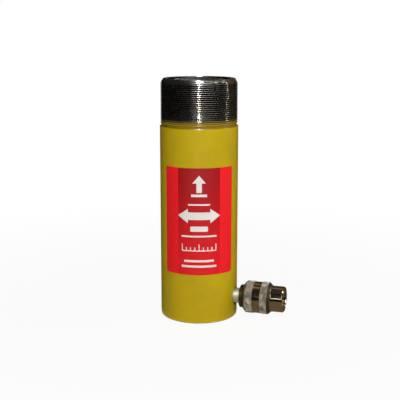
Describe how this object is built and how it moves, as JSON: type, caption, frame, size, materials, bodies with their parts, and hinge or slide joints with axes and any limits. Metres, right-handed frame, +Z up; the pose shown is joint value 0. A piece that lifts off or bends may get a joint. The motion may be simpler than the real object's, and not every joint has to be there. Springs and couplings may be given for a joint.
{
  "type": "hydraulic ram",
  "caption": "Yellow single-acting, spring-return hydraulic ram with a threaded collar, a blank red label and a knurled screw coupler on its oil port.",
  "frame": {"origin": "centre of the base, in the plane that the ram stands on", "axes": "+Z up along the ram's axis, towards the saddle; +X out of the oil port, along the coupler"},
  "size_m": [0.0942, 0.0572, 0.176],
  "materials": {
    "yellow_paint": "gloss",
    "dark_steel": "satin",
    "plated_steel": "satin",
    "hard_chrome": "polished",
    "spring_steel": "satin",
    "bearing_bronze": "satin",
    "seal_rubber": "matte",
    "backup_plastic": "matte",
    "red_label": "gloss"
  },
  "bodies": {
    "barrel_body": {"barrel": "yellow_paint", "stop_ring": "dark_steel", "wiper": "seal_rubber", "label": "red_label", "return_spring": "spring_steel", "spring_base_anchor": "dark_steel", "coupler_body": "plated_steel", "coupler_face_seal": "seal_rubber", "valve_seat": "plated_steel", "poppet_guide": "plated_steel", "poppet_spring": "spring_steel", "collar_retaining_ring": "spring_steel"},
    "plunger_body": {"plunger": "hard_chrome", "saddle": "dark_steel", "piston_bearing": "bearing_bronze", "piston_snap_ring": "spring_steel", "seal_washer": "plated_steel", "piston_seal": "seal_rubber", "backup_ring": "backup_plastic", "spring_plunger_anchor": "dark_steel"},
    "collar_body": {"coupler_collar": "plated_steel"},
    "poppet_body": {"poppet": "dark_steel"}
  },
  "joints": [
    {"name": "plunger_slide", "type": "slide", "parent": "barrel_body", "child": "plunger_body", "axis": [0, 0, 1], "range_m": [0, 0.1016], "stiffness_N_per_m": 4700, "springref_m": -0.02, "deforming": ["return_spring"]},
    {"name": "collar_spin", "type": "hinge", "parent": "barrel_body", "child": "collar_body", "pos_m": [0.05, 0, 0.0155], "axis": [1, 0, 0], "continuous": true},
    {"name": "poppet_slide", "type": "slide", "parent": "barrel_body", "child": "poppet_body", "axis": [-1, 0, 0], "range_m": [0, 0.0025], "stiffness_N_per_m": 3800, "springref_m": -0.002, "deforming": ["poppet_spring"]}
  ]
}
